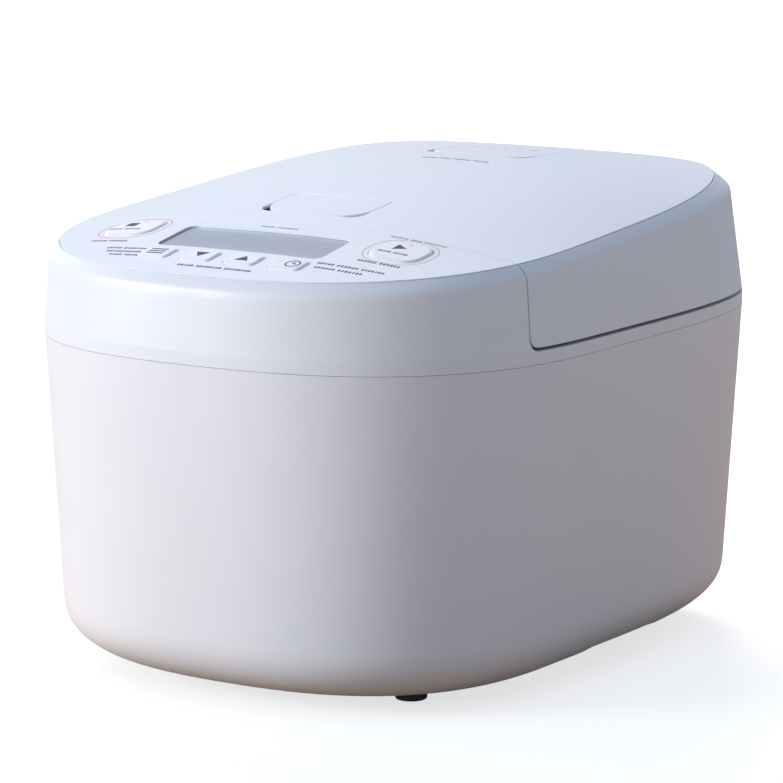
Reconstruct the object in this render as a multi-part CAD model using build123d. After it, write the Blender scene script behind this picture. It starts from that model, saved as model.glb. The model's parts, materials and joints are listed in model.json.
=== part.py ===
from build123d import *
import math
import os

# A household rice cooker.  Millimetres; +Z is up, the front faces -Y, +X is the user's right.
# The origin is under the middle of the footprint, on the plane that the feet rest on.

# ---------------------------------------------------------------- casing outline, seen from above
WIDTH = 285.0
FRONT_DEPTH = 137.5  # from the widest line forward
REAR_DEPTH = 217.5  # from the widest line back
WIDEST_Y = (FRONT_DEPTH - REAR_DEPTH) / 2
FRONT_POWER = 2.53  # superellipse exponents of the two halves
REAR_POWER = 4.5
RIM_REAR_POWER = 4.1  # the top rim's rear corners are rounder
OUTLINE_STEPS = 40

# ---------------------------------------------------------------- heights
SHELL_BOTTOM_Z = 4.0
PARTING_Z = 168.0  # between the lower casing and the upper frame
DECK_Z = 174.4  # top of the frame under the lid
LID_Z = 176.2  # underside of the lid
RIM_MID_Z = 222.8  # the top rim lies in a plane that rises to the rear
RIM_SLOPE = 0.075

# ---------------------------------------------------------------- walls
WALL = 2.6
LOWER_DRAFT = 0.052
LID_DRAFT = 0.06
BOTTOM_ROUND_Z = 34.0  # where the rounding of the lower edge starts
BOTTOM_ROUND_INSET = 52.0
BOTTOM_POWER = 2.34
CHAMFER_DROP = 5.0  # the top edge's chamfer and how softly it starts
CHAMFER_SLOPE = 0.92
CHAMFER_SOFTNESS = 1.5

# ---------------------------------------------------------------- domed top
DOME_HEIGHT = 16.5
DOME_CREST = 70.0  # behind the widest line
DOME_FRONT = 131.0  # rim of the dome, ahead of the widest line
DOME_HALF_WIDTH = 135.6
DOME_REAR_FALL = 0.87
DOME_REAR_REACH = 140.0
PLATE = 2.0  # thickness of the top plates
PLATE_GAP = 0.3
LIP = 0.9  # the casing's rim around the plates, and how far it lies below them
LIP_DROP = 0.6

# ---------------------------------------------------------------- front seam of the lid
SEAM_Y = -91.3
SEAM_GAP = 0.8
SEAM_RADIUS = 6.0

# ---------------------------------------------------------------- controls
KEY_RISE = 0.9
KEY_ROUND = 2.0  # the soft rounding of a key's top
KEY_TRAVEL = 0.5
KEY_GAP = 0.3
KEY_DEPTH = 7.0
SMALL_KEY = (18.6, 12.8, 3.0)  # width, depth, corner radius
SMALL_KEY_Y = -147.3
SMALL_KEY_PITCH = 25.4
BIG_KEY = (29.0, 25.0, 9.0)
BIG_KEY_X = 78.0
BIG_KEY_Y = -111.5
WINDOW = (96.0, 30.6, 5.0)
WINDOW_Y = -121.1
WINDOW_RECESS = 1.0
BOARD_Y = -130.0  # the control board, which lies on a slope under the console
BOARD_Z = 201.5
BOARD_SLOPE = 0.13
BOARD_SIZE = (196.0, 54.0, 1.6)

# ---------------------------------------------------------------- pan, heaters and their casing
PAN_Y = 37.0
PAN_RADIUS = 106.0
PAN_WALL = 1.8
PAN_BOTTOM_Z = 37.0
PAN_RIM_Z = 168.0
PAN_CORNER = 34.0
PAN_FLANGE_RADIUS = 113.0
OPENING_RADIUS = 116.0
CASE_RADIUS = 113.5
CASE_WALL = 0.8
CASE_BOTTOM_Z = 23.0

# ---------------------------------------------------------------- hinge
HINGE_Y = 170.3
HINGE_Z = 178.5
HINGE_PIN_RADIUS = 2.0
KNUCKLE_RADIUS = 3.8
HINGE_WELL_Z = 170.0
HINGE_BAY_HALF = 80.0  # the bay in the lid
HINGE_WELL_HALF = 88.0  # the well in the frame, which takes the lid's rear edge
EAR_XS = (-56.0, 56.0)
EAR_WIDTH = 7.0
LID_KNUCKLE_XS = (-43.0, 43.0)
HINGE_PIN_HALF = 60.2
LID_KNUCKLE_WIDTH = 10.0

# ---------------------------------------------------------------- latch
BUTTON_FRONT_Y = -76.0
BUTTON_REAR_Y = -43.0
BUTTON_WIDTH = 59.0
BUTTON_CORNERS = (16.0, 4.0)  # at the front and at the rear
BUTTON_OPENING_CORNERS = (8.0, 4.0)
BUTTON_GAP = 0.6
BUTTON_THICKNESS = 2.6
LATCH_ARM_XS = (-20.0, 20.0)
LATCH_PIN_RADIUS = 1.5
LATCH_Y = -44.5
LATCH_Z = 224.0
LATCH_FLOOR = 214.0

# ---------------------------------------------------------------- steam vent
VENT_Y = 99.0
VENT_SIZE = (61.0, 43.0)
VENT_CORNERS = (14.0, 8.0)
VENT_OPENING_CORNERS = (6.0, 8.0)
VENT_GAP = 0.5
VENT_SLOTS = 5
VENT_SLOT_PITCH = 8.8
VENT_TUBE = 12.0
KNOB_RADIUS = 7.0

# ---------------------------------------------------------------- hand grips, feet, cord outlet
GRIP_Y = 26.0
GRIP_LENGTH = 76.0
GRIP_TOP_Z = 22.0
FEET_X = 75.0
FEET_YS = (-97.6, 112.0)
FOOT_RADIUS = 7.9
OUTLET_X = 62.0
OUTLET_Z = 48.0
OUTLET_SIZE = (34.0, 26.0)
BASE_OPENING_INSET = 66.0  # the outline of the opening that the base cover closes
BOARD_SCREWS = [(-92, -114), (-54, -150), (54, -150), (92, -114)]
POWER_BOARD_Y = -118.0
REEL_Y = 104.0
BASE_SCREWS = [(x, y) for x in (-52, 52) for y in (-78, 90)]

CENTRE = Align.CENTER
UPRIGHT = (CENTRE, CENTRE, Align.MIN)


# ================================================================ plain shapes
def rod(radius, low, high, x=0.0, y=0.0):
    """An upright cylinder between two heights."""
    return Pos(x, y, low) * Cylinder(radius, high - low, align=UPRIGHT)


def ring(outer, inner, low, high, x=0.0, y=0.0):
    """An upright tube between two heights."""
    return rod(outer, low, high, x, y) - rod(inner, low - 1, high + 1, x, y)


def rod_x(radius, left, right, y, z):
    """A cylinder along X."""
    return Pos(left, y, z) * Rot(0, 90, 0) * Cylinder(radius, right - left, align=UPRIGHT)


def rod_y(radius, front, rear, x, z):
    """A cylinder along Y."""
    return Pos(x, front, z) * Rot(-90, 0, 0) * Cylinder(radius, rear - front, align=UPRIGHT)


def block(left, right, front, rear, low, high):
    """A box between two limits on each axis."""
    size = Box(right - left, rear - front, high - low, align=(Align.MIN, Align.MIN, Align.MIN))
    return Pos(left, front, low) * size


def pad(width, depth, radius, low, high, x=0.0, y=0.0):
    """An upright prism with a rounded rectangular plan."""
    return extrude(Pos(x, y, low) * RectangleRounded(width, depth, radius), high - low)


def tablet(width, front, rear, corners, gap=0.0):
    """An upright prism whose plan has its own corner radius at the front and at the rear."""
    front, rear, half = front - gap, rear + gap, width / 2 + gap
    plan = Polygon((-half, front), (half, front), (half, rear), (-half, rear), align=None)
    plan = fillet(plan.vertices().sort_by(Axis.Y)[:2], corners[0])
    plan = fillet(plan.vertices().sort_by(Axis.Y)[-2:], corners[1])
    return extrude(Pos(0, 0, 200) * plan, 60)


def side_prism(points, left, right, corner=None, radius=0.0):
    """A prism along X from a profile of (y, z) points, with one corner rounded if asked."""
    profile = Plane.YZ * Polygon(*points, align=None)
    if corner:
        vertex = profile.vertices().sort_by_distance((0, *corner))[0]
        profile = fillet(vertex, radius)
    return Pos(left, 0, 0) * extrude(profile, right - left)


def solid_of(shape):
    """The one solid of a shape, freed from its wrapping."""
    return shape.solids()[0] if len(shape.solids()) == 1 else shape


# ================================================================ casing surfaces
def outline_point(angle, inset, rear_power):
    """The plan outline's point in a direction from the middle of the widest line."""
    depth, power = (REAR_DEPTH, rear_power) if angle > 0 else (FRONT_DEPTH, FRONT_POWER)
    across = abs(math.cos(angle)) / (WIDTH / 2 - inset)
    along = abs(math.sin(angle)) / (depth - inset)
    reach = (across**power + along**power) ** (-1 / power)
    return reach * math.cos(angle), WIDEST_Y + reach * math.sin(angle)


def outline_wire(inset_at, height_at, rear_power=REAR_POWER):
    """A closed outline whose inset depends on height, and whose height depends on y."""
    right = []
    for step in range(OUTLINE_STEPS + 1):
        angle = math.pi * (step / OUTLINE_STEPS - 0.5)
        rough_y = outline_point(angle, 0.0, rear_power)[1]
        x, y = outline_point(angle, inset_at(height_at(rough_y)), rear_power)
        right.append(Vector(0.0 if step in (0, OUTLINE_STEPS) else x, y, height_at(y)))
    left = [Vector(-p.X, p.Y, p.Z) for p in reversed(right)]
    even = [step / OUTLINE_STEPS for step in range(OUTLINE_STEPS + 1)]
    out, back = Vector(1, 0, 0), Vector(-1, 0, 0)
    halves = [
        Edge.make_spline(right, tangents=[out, back], parameters=even),
        Edge.make_spline(left, tangents=[back, out], parameters=even),
    ]
    return Wire(halves)


def flat_outline(inset, z):
    """A level outline."""
    return outline_wire(lambda _: inset, lambda _: z)


def rim_height(y):
    """The plane of the top rim."""
    return RIM_MID_Z + RIM_SLOPE * y


def stack(*lofts):
    """Lofts that share their end outlines, joined into one form."""
    form = Solid.make_loft(lofts[0], ruled=True)
    for sections in lofts[1:]:
        form += Solid.make_loft(sections, ruled=len(sections) == 2)
    return form


def wall_inset(z):
    """How far the upper casing's wall has drawn in at a height."""
    return LID_DRAFT * max(0.0, z - DECK_Z)


def chamfer_inset(drop):
    """How far the soft chamfer has drawn in at a depth below the rim plane."""
    rise = CHAMFER_DROP - drop
    return CHAMFER_SLOPE * (rise + math.hypot(rise, CHAMFER_SOFTNESS)) / 2


def upper_column(extra=0.0):
    """The upper casing's side walls and softly chamfered top edge, taken past the dome."""

    def tilted(drop):
        inset = extra + chamfer_inset(drop)
        return outline_wire(lambda z: inset + wall_inset(z), lambda y: rim_height(y) - drop, RIM_REAR_POWER)

    deck = flat_outline(extra, DECK_Z)
    shoulder = [tilted(CHAMFER_DROP - rise) for rise in range(-4, 4)]
    return stack(
        [flat_outline(extra, PARTING_Z - 10), deck], [deck, shoulder[0]], shoulder, [shoulder[-1], tilted(-22)]
    )


def lower_profile():
    """(inset, height, inward, upward) along the lower casing's rounded edge, from the top down."""
    rows = []
    fall = BOTTOM_ROUND_Z - SHELL_BOTTOM_Z
    for degrees in range(0, 91, 10):
        across = max(0.0, math.cos(math.radians(degrees))) ** (2 / BOTTOM_POWER)
        down = math.sin(math.radians(degrees)) ** (2 / BOTTOM_POWER)
        z = BOTTOM_ROUND_Z - fall * down
        inset = (PARTING_Z - z) * LOWER_DRAFT + BOTTOM_ROUND_INSET * (1 - across)
        normal = Vector(across ** (BOTTOM_POWER - 1) / BOTTOM_ROUND_INSET, down ** (BOTTOM_POWER - 1) / fall)
        normal = normal.normalized()
        rows.append((inset, z, normal.X, normal.Y))
    return rows


def lower_form(thickness=0.0, headroom=0.0):
    """The lower casing's outer form, or the form inside its wall."""
    rounding = [
        flat_outline(inset + thickness * inward, z + thickness * upward)
        for inset, z, inward, upward in lower_profile()
    ]
    top = flat_outline(thickness - headroom * LOWER_DRAFT, PARTING_Z + headroom)
    return stack([top, rounding[0]], rounding)


def dome_height(x, y):
    """The domed top: a shallow crown that falls to the rim at the front and sides."""
    along = y - WIDEST_Y
    reach = DOME_FRONT + DOME_CREST
    across = abs(x) / DOME_HALF_WIDTH
    if along < 0:
        crown = DOME_HEIGHT * (DOME_FRONT / reach) ** 2 * (reach + DOME_CREST - along) / (DOME_FRONT - along)
        forward = -along / DOME_FRONT
        return rim_height(y) + crown * (1 - (across**FRONT_POWER + forward**FRONT_POWER) ** (2 / FRONT_POWER))
    fall = (along - DOME_CREST) / reach
    crown = 1 - fall**2
    if along > DOME_CREST:
        crown = 1 - DOME_REAR_FALL * ((along - DOME_CREST) / DOME_REAR_REACH) ** 2
    return rim_height(y) + DOME_HEIGHT * crown * (1 - across**2)


def dome_slab(top, bottom):
    """The layer between two depths below the domed top."""
    columns, rows = 20, 30
    half, reach = WIDTH / 2 + 4, (FRONT_DEPTH + REAR_DEPTH) / 2 + 4
    grid = []
    for column in range(columns + 1):
        x = half * (2 * column / columns - 1)
        ys = [reach * (2 * row / rows - 1) for row in range(rows + 1)]
        grid.append([Vector(x, y, dome_height(x, y) - top) for y in ys])
    face = Face.make_surface_from_array_of_points(grid, tol=0.01, max_deg=3)
    return Solid.extrude(face, Vector(0, 0, top - bottom))


def top_edge_inset(angle):
    """The inset at which the chamfer runs out into the casing's domed rim."""
    inset = 0.0
    for _ in range(20):
        x, y = outline_point(angle, inset, RIM_REAR_POWER)
        z = dome_height(x, y) - LIP_DROP
        inset = wall_inset(z) + chamfer_inset(rim_height(y) - z)
    return inset


def plate_prism(gap=0.0):
    """The upright prism that bounds the top plates, or their pockets."""
    right = []
    for step in range(OUTLINE_STEPS + 1):
        angle = math.pi * (step / OUTLINE_STEPS - 0.5)
        x, y = outline_point(angle, top_edge_inset(angle) + LIP - gap, RIM_REAR_POWER)
        right.append(Vector(0.0 if step in (0, OUTLINE_STEPS) else x, y, 190))
    left = [Vector(-p.X, p.Y, p.Z) for p in reversed(right)]
    out, back = Vector(1, 0, 0), Vector(-1, 0, 0)
    wire = Wire([Edge.make_spline(right, tangents=[out, back]), Edge.make_spline(left, tangents=[back, out])])
    return Solid.extrude(Face(wire), Vector(0, 0, 70))


# ================================================================ shared cutters and forms
COLUMN = upper_column()
INNER_COLUMN = upper_column(WALL + 0.2)
OUTER_FORM = lower_form()
INNER_FORM = lower_form(WALL, 8.0)
ENVELOPE = COLUMN & dome_slab(LIP_DROP, 90)


def frame_region():
    """Everything below the deck and ahead of the seam."""
    seam = SEAM_Y - SEAM_GAP / 2
    low = PARTING_Z + 0.2
    profile = [(-220, low), (220, low), (220, DECK_Z), (seam, DECK_Z), (seam, 270), (-220, 270)]
    return side_prism(profile, -160, 160, (seam, DECK_Z), SEAM_RADIUS)


def lid_region():
    """Everything above the lid gap and behind the seam."""
    seam = SEAM_Y + SEAM_GAP / 2
    profile = [(seam, LID_Z), (220, LID_Z), (220, 270), (seam, 270)]
    return side_prism(profile, -160, 160, (seam, LID_Z), SEAM_RADIUS - SEAM_GAP)


def grip_cutter(margin=0.0):
    """The finger pocket of one hand grip, on the +X side."""
    low, top = SHELL_BOTTOM_Z - 6, GRIP_TOP_Z + margin
    half = GRIP_LENGTH / 2 + margin
    ends = [(GRIP_Y - half - 8, low), (GRIP_Y + half + 8, low), (GRIP_Y + half - 6, top), (GRIP_Y - half + 6, top)]
    long_way = Plane.YZ * Polygon(*ends, align=None)
    long_way = fillet(long_way.vertices().sort_by(Axis.Z)[-2:], 7)
    long_way = Pos(80, 0, 0) * extrude(long_way, 80)
    lip = GRIP_TOP_Z - 8 + margin
    across = [(94 - margin, low), (160, low), (160, lip), (125, lip), (117, top), (100, top), (94 - margin, top - 8)]
    cross_way = extrude(Pos(0, GRIP_Y + 60, 0) * (Plane.XZ * Polygon(*across, align=None)), 120)
    return long_way & cross_way


def both_sides(shape):
    """A shape and its mirror image across the middle plane."""
    return shape + mirror(shape, Plane.YZ)


def key_spots():
    """Every control key: its name, plan size, corner radius and place."""
    names = ("menu_button", "down_button", "up_button", "timer_button")
    spots = []
    for index, name in enumerate(names):
        spots.append((name, SMALL_KEY, (index - 1.5) * SMALL_KEY_PITCH, SMALL_KEY_Y))
    spots.append(("cancel_button", BIG_KEY, -BIG_KEY_X, BIG_KEY_Y))
    spots.append(("start_button", BIG_KEY, BIG_KEY_X, BIG_KEY_Y))
    return spots


def board_height(y):
    """Top face of the control board, which follows the console's slope."""
    return BOARD_Z + BOARD_SLOPE * (y - BOARD_Y)


# ================================================================ lower casing
def outer_shell():
    shell = OUTER_FORM - INNER_FORM
    pocket_wall = (grip_cutter(2.4) - grip_cutter()) & OUTER_FORM
    shell += both_sides(pocket_wall)
    shell -= both_sides(grip_cutter())
    for y in FEET_YS:
        for x in (-FEET_X, FEET_X):
            shell += rod(FOOT_RADIUS + 2.5, 4.6, 9.5, x, y) & OUTER_FORM
            shell -= rod(FOOT_RADIUS + 0.1, -1, 7.1, x, y)
            shell -= rod(2.6, 0, 20, x, y)
    bottom_opening = Solid.extrude(Face(flat_outline(BASE_OPENING_INSET, 0.0)), Vector(0, 0, 12))
    shell -= bottom_opening
    width, height = OUTLET_SIZE
    hole = Pos(OUTLET_X, 150, OUTLET_Z) * Box(width, 60, height)
    shell -= fillet(hole.edges().filter_by(Axis.Y), 5)
    return shell


def base_cover():
    plate = Solid.extrude(Face(flat_outline(BASE_OPENING_INSET + 0.4, SHELL_BOTTOM_Z)), Vector(0, 0, 3.4))
    cover = plate + Solid.extrude(Face(flat_outline(BASE_OPENING_INSET - 3.5, 7.2)), Vector(0, 0, 2.0))
    for row in range(6):
        slot = pad(44, 3, 1.4, 0, 20, 0, -52 + 8 * row)
        cover -= slot
    for x, y in BASE_SCREWS:
        cover -= rod(1.9, 0, 20, x, y)
        cover -= rod(3.9, 0, 6.0, x, y)
    return cover


def base_screws():
    screws = []
    for x, y in BASE_SCREWS:
        head = rod(3.5, 4.2, 6.0, x, y)
        head -= Pos(x, y, 4.2) * Box(4.4, 0.9, 1.4) + Pos(x, y, 4.2) * Box(0.9, 4.4, 1.4)
        screws.append(head + rod(1.5, 6.0, 15.0, x, y))
    return Compound(children=[solid_of(s) for s in screws])


def foot(x, y):
    pad_body = fillet(rod(FOOT_RADIUS, 0, 6.9, x, y).edges().sort_by(Axis.Z)[0], 1.2)
    return pad_body + rod(2.4, 6.5, 10.5, x, y) + rod(3.4, 9.8, 12.0, x, y)


def feet(y):
    return Compound(children=[solid_of(foot(x, y)) for x in (-FEET_X, FEET_X)])


def outlet_bezel():
    """The cord's outlet in the rear wall: a lined mouth that opens to the rear."""
    width, height = OUTLET_SIZE
    wall_y = rear_wall_y(OUTLET_X, OUTLET_Z)
    sleeve = Pos(OUTLET_X, wall_y - 9.0, OUTLET_Z) * Box(width - 0.6, 16.0, height - 0.6)
    sleeve = fillet(sleeve.edges().filter_by(Axis.Y), 4.7)
    mouth = Pos(OUTLET_X, wall_y - 6.5, OUTLET_Z) * Box(width - 5, 18, height - 5)
    mouth = fillet(mouth.edges().filter_by(Axis.Y), 3)
    lead_hole = rod_y(4.0, wall_y - 30, wall_y, OUTLET_X, OUTLET_Z)
    return (sleeve & OUTER_FORM) - mouth - lead_hole


def rear_wall_y(x, z):
    """Where the lower casing's rear wall stands."""
    inset = (PARTING_Z - z) * LOWER_DRAFT
    share = 1 - (abs(x) / (WIDTH / 2 - inset)) ** REAR_POWER
    return WIDEST_Y + (REAR_DEPTH - inset) * share ** (1 / REAR_POWER)


# ================================================================ upper frame and console
def upper_frame():
    region = frame_region()
    frame = ENVELOPE & region
    cavity = INNER_COLUMN & dome_slab(PLATE + 2.6, 90)
    console = block(-150, 150, -200, SEAM_Y - SEAM_GAP / 2 - 2.6, 150, 260)
    frame -= cavity & console
    frame -= INNER_COLUMN & block(-150, 150, -200, 200, 150, DECK_Z - 3.0)
    frame -= dome_slab(-3, PLATE) & plate_prism(PLATE_GAP)
    window = Solid.extrude(Face(flat_outline(14.0, 190.0)), Vector(0, 0, 60))
    frame -= window & block(-108, 108, -200, -96.5, 180, 260)
    rib = Solid.extrude(Face(flat_outline(3.2, PARTING_Z - 6)), Vector(0, 0, 9.0))
    rib -= Solid.extrude(Face(flat_outline(5.2, PARTING_Z - 8)), Vector(0, 0, 13.0))
    frame += rib
    frame -= rod(OPENING_RADIUS, 150, 180, 0, PAN_Y)
    frame += ring(OPENING_RADIUS + 2.5, OPENING_RADIUS, 163.8, DECK_Z - 1.0, 0, PAN_Y)
    frame += ring(OPENING_RADIUS + 0.5, 108.5, 163.8, 165.8, 0, PAN_Y)
    well = block(-HINGE_WELL_HALF, HINGE_WELL_HALF, 160.0, 190, HINGE_WELL_Z, 260)
    floor = block(-HINGE_WELL_HALF - 2, HINGE_WELL_HALF + 2, 157.0, 190, HINGE_WELL_Z - 2.2, DECK_Z)
    frame += floor & INNER_COLUMN
    frame -= well
    for x in EAR_XS:
        frame += hinge_ear(x)
    for post in board_posts():
        frame += post
    frame -= keeper_slot()
    frame -= rod(OPENING_RADIUS, 166.0, 180, 0, PAN_Y)
    return frame


def hinge_ear(x):
    """An upstand that holds the hinge pin, reaching back over the swing of the lid's rear wall."""
    left, right = x - EAR_WIDTH / 2, x + EAR_WIDTH / 2
    profile = [
        (160.5, HINGE_WELL_Z - 1.0),
        (HINGE_Y - 3.2, HINGE_WELL_Z - 1.0),
        (HINGE_Y - 3.2, HINGE_Z - 2.5),
        (HINGE_Y, HINGE_Z - 3.0),
        (HINGE_Y, HINGE_Z + 3.0),
        (HINGE_Y - 4.0, HINGE_Z + 2.0),
    ]
    ear = side_prism(profile, left, right) + rod_x(KNUCKLE_RADIUS, left, right, HINGE_Y, HINGE_Z)
    return ear - rod_x(HINGE_PIN_RADIUS, left - 1, right + 1, HINGE_Y, HINGE_Z)


def keeper_slot():
    """The slot in the console's rear wall that the latch hook reaches into."""
    return block(-9, 9, SEAM_Y - 8, SEAM_Y + 4, 187.0, 195.0)


# ================================================================ console
def control_panel():
    """The printed top plate of the console, with its window and key openings."""
    region = block(-150, 150, -200, SEAM_Y - SEAM_GAP / 2, 150, 260)
    panel = dome_slab(0, PLATE) & plate_prism() & region
    width, depth, corner = WINDOW
    panel -= pad(width, depth, corner, 190, 250, 0, WINDOW_Y)
    for _, (width, depth, corner), x, y in key_spots():
        panel -= pad(width + 2 * KEY_GAP, depth + 2 * KEY_GAP, corner + KEY_GAP, 190, 250, x, y)
    return panel


def lcd_window():
    """The display's pane, let into the panel, with a wider flange behind the panel."""
    width, depth, corner = WINDOW
    pane = dome_slab(WINDOW_RECESS, PLATE + 0.6)
    pane &= pad(width - 0.2, depth - 0.2, corner, 190, 250, 0, WINDOW_Y)
    flange = dome_slab(PLATE + 0.1, PLATE + 1.3)
    flange &= pad(width + 6, depth + 4, corner, 190, 250, 0, WINDOW_Y)
    return pane + flange


def key(size, x, y):
    """A moulded key that stands a little proud of the panel, with a soft edge and a wider foot."""
    width, depth, corner = size
    body = dome_slab(-KEY_RISE, KEY_DEPTH) & pad(width, depth, corner, 180, 250, x, y)
    top = body.faces().sort_by(Axis.Z)[-1]
    body = fillet(top.edges(), KEY_ROUND)
    foot = dome_slab(PLATE + KEY_TRAVEL + 0.5, KEY_DEPTH)
    foot &= pad(width + 3, depth + 3, corner + 1, 180, 250, x, y)
    stem_top = dome_height(x, y) - KEY_DEPTH + 2
    return body + foot + rod(2.0, board_height(y) + 4.2, stem_top, x, y)


def lamp_lens(x, y, radius):
    """A light guide through a key."""
    return dome_slab(-KEY_RISE - 0.15, 3.0) & rod(radius, 190, 250, x, y)


def control_board():
    """The circuit board on its slope under the console."""
    width, depth, thickness = BOARD_SIZE
    board = Pos(0, BOARD_Y, BOARD_Z - thickness) * Rot(math.degrees(math.atan(BOARD_SLOPE)), 0, 0)
    slab = board * (Pos(0, 2, 0) * Box(width, depth, thickness, align=UPRIGHT))
    slab &= Solid.extrude(Face(flat_outline(13.0, 180.0)), Vector(0, 0, 60))
    for x, y in BOARD_SCREWS:
        slab -= rod(1.8, 180, 230, x, y)
    return slab


def tact_switches():
    """One small switch on the board under each key."""
    switches = []
    for _, _, x, y in key_spots():
        z = board_height(y)
        body = block(x - 3, x + 3, y - 3, y + 3, z + 0.5, z + 2.4)
        switches.append(body + rod(1.4, z + 2.4, z + 3.5, x, y))
    return Compound(children=[solid_of(s) for s in switches])


def board_screws():
    screws = []
    for x, y in BOARD_SCREWS:
        z = board_height(y)
        screws.append(rod(2.8, z + 0.6, z + 2.2, x, y) + rod(1.5, z - 8, z + 0.6, x, y))
    return Compound(children=[solid_of(s) for s in screws])


def board_posts():
    """Bosses that carry the control board, joined to the frame's front wall by ribs."""
    posts = []
    for x, y in BOARD_SCREWS:
        z = board_height(y) - 2.2
        post = rod(3.4, z - 12, z, x, y) + block(x - 1.2, x + 1.2, -172, y, z - 12, z - 3)
        posts.append((post & INNER_COLUMN) - rod(1.55, z - 20, z + 4, x, y))
    return posts


def lcd_module():
    """The display cell and its backing, standing on the control board."""
    z = board_height(WINDOW_Y)
    return pad(90, 25, 1.5, z + 2.2, z + 7.0, 0, WINDOW_Y + 1)


def buzzer():
    x, y = 67.0, -139.0
    z = board_height(y)
    return rod(6.0, z + 1.2, z + 7, x, y) - rod(1.0, z + 6, z + 9, x, y)


def power_board():
    """The mains board, upright across the front of the casing."""
    return block(-75, 75, POWER_BOARD_Y - 1.6, POWER_BOARD_Y, 30, 115)


def power_parts(kind):
    """Heavy components standing forward of the mains board."""
    face = POWER_BOARD_Y - 1.7
    if kind == "transformer":
        core = block(-60, -22, face - 22, face, 50, 82)
        return core + block(-54, -28, face - 26, face, 56, 76)
    if kind == "relay":
        return block(-8, 12, face - 15, face, 60, 88)
    caps = [rod_y(7.0, face - 20, face, x, 70) for x in (28, 46)]
    return Compound(children=[solid_of(c) for c in caps])


# ================================================================ pan and heating
def cup(radius, wall, low, high, corner):
    """An open round vessel with a rounded lower corner."""
    outer = rod(radius, low, high, 0, PAN_Y)
    outer = fillet(outer.edges().sort_by(Axis.Z)[0], corner)
    inner = rod(radius - wall, low + wall, high + 5, 0, PAN_Y)
    inner = fillet(inner.edges().sort_by(Axis.Z)[0], max(0.5, corner - wall))
    return outer - inner


def inner_pan():
    pan = cup(PAN_RADIUS, PAN_WALL, PAN_BOTTOM_Z, PAN_RIM_Z, PAN_CORNER)
    flange = ring(PAN_FLANGE_RADIUS, PAN_RADIUS - 0.5, PAN_RIM_Z - 1.6, PAN_RIM_Z, 0, PAN_Y)
    return pan + fillet(flange.edges().filter_by(GeomType.CIRCLE).sort_by(SortBy.RADIUS)[-2:], 0.7)


def inner_case():
    """The metal well round the pan, open below for the heating plate's sensor."""
    case = cup(CASE_RADIUS, CASE_WALL, CASE_BOTTOM_Z, 163.4, 30)
    case -= rod(22, 10, 30, 0, PAN_Y)
    case += ring(OPENING_RADIUS + 2, CASE_RADIUS - CASE_WALL, 162.4, 163.4, 0, PAN_Y)
    return case


def side_heater():
    """The keep-warm heating belt clamped round the metal well."""
    belt = ring(CASE_RADIUS + 1.3, CASE_RADIUS + 0.05, 96, 128, 0, PAN_Y)
    ears = block(-3, 3, PAN_Y - CASE_RADIUS - 8, PAN_Y - CASE_RADIUS - 0.6, 104, 120)
    gap = block(-0.8, 0.8, PAN_Y - CASE_RADIUS - 10, PAN_Y - CASE_RADIUS + 2, 90, 135)
    return (belt + ears) - gap


def heating_plate():
    """The cast plate that the pan rests on, dished to the pan's lower corner."""
    plate = rod(74, 28.5, PAN_BOTTOM_Z - 0.05, 0, PAN_Y) - rod(18, 20, 40, 0, PAN_Y)
    plate += ring(82, 66, 28.5, 33, 0, PAN_Y)
    return plate - ring(61, 53, 24, 31.5, 0, PAN_Y)


def heating_element():
    """The sheathed element in the groove under the heating plate, with two cold ends."""
    loop = Pos(0, PAN_Y, 28.4) * Torus(57, 3.0)
    ends = rod(3.0, CASE_BOTTOM_Z + 1.2, 28.4, 57, PAN_Y) + rod(3.0, CASE_BOTTOM_Z + 1.2, 28.4, -57, PAN_Y)
    return loop + ends


def plate_posts():
    """Posts that carry the heating plate on the metal well's floor."""
    posts = []
    for index in range(3):
        angle = math.radians(90 + 120 * index)
        x, y = 44 * math.cos(angle), PAN_Y + 44 * math.sin(angle)
        posts.append(solid_of(rod(5, CASE_BOTTOM_Z + CASE_WALL, 28.5, x, y)))
    return Compound(children=posts)


def sensor_holder():
    """The tube under the heating plate that guides the pan sensor."""
    tube = ring(17.5, 15.6, 12.0, 27.5, 0, PAN_Y)
    return tube + ring(17.0, 5.0, 12.0, 13.5, 0, PAN_Y)


def pan_sensor():
    """The sprung temperature sensor that touches the pan's underside."""
    cap = fillet(rod(15.0, 22.0, PAN_BOTTOM_Z - 0.3, 0, PAN_Y).edges().sort_by(Axis.Z)[-1], 1.5)
    cap -= rod(13.8, 20, PAN_BOTTOM_Z - 1.5, 0, PAN_Y)
    return cap + rod(3.5, 19.0, PAN_BOTTOM_Z - 1.0, 0, PAN_Y)


def coil(radius, wire, low, high, turns, x=0.0, y=0.0):
    """An upright compression spring."""
    path = Pos(x, y, low) * Helix((high - low) / turns, high - low, radius)
    start = Plane(path @ 0, z_dir=path % 0)
    return sweep(start * Circle(wire), path)


def sensor_spring():
    return coil(9.0, 0.6, 14.4, PAN_BOTTOM_Z - 2.4, 5, 0, PAN_Y)


def thermal_fuse():
    """The thermal cut-out clipped under the heating plate."""
    return rod_x(2.2, 28, 42, PAN_Y + 20, 26.0) + block(33, 37, PAN_Y + 17, PAN_Y + 23, 27.0, 28.45)


# ================================================================ cord reel
def reel_case():
    """The flat case of the cord reel, under the metal well."""
    can = rod(40, 9.6, 20.6, 0, REEL_Y) - rod(38.4, 11.0, 19.2, 0, REEL_Y)
    can -= block(26, 60, REEL_Y + 8, REEL_Y + 20, 12.0, 18.4)
    return can - rod(4.0, 9, 25, 0, REEL_Y)


def reel_drum():
    """The drum that the cord winds on, on its hub."""
    drum = rod(37.6, 11.4, 12.4, 0, REEL_Y) + rod(37.6, 17.8, 18.8, 0, REEL_Y) + rod(20, 11.4, 18.8, 0, REEL_Y)
    return drum - rod(3.6, 9, 25, 0, REEL_Y)


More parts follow.
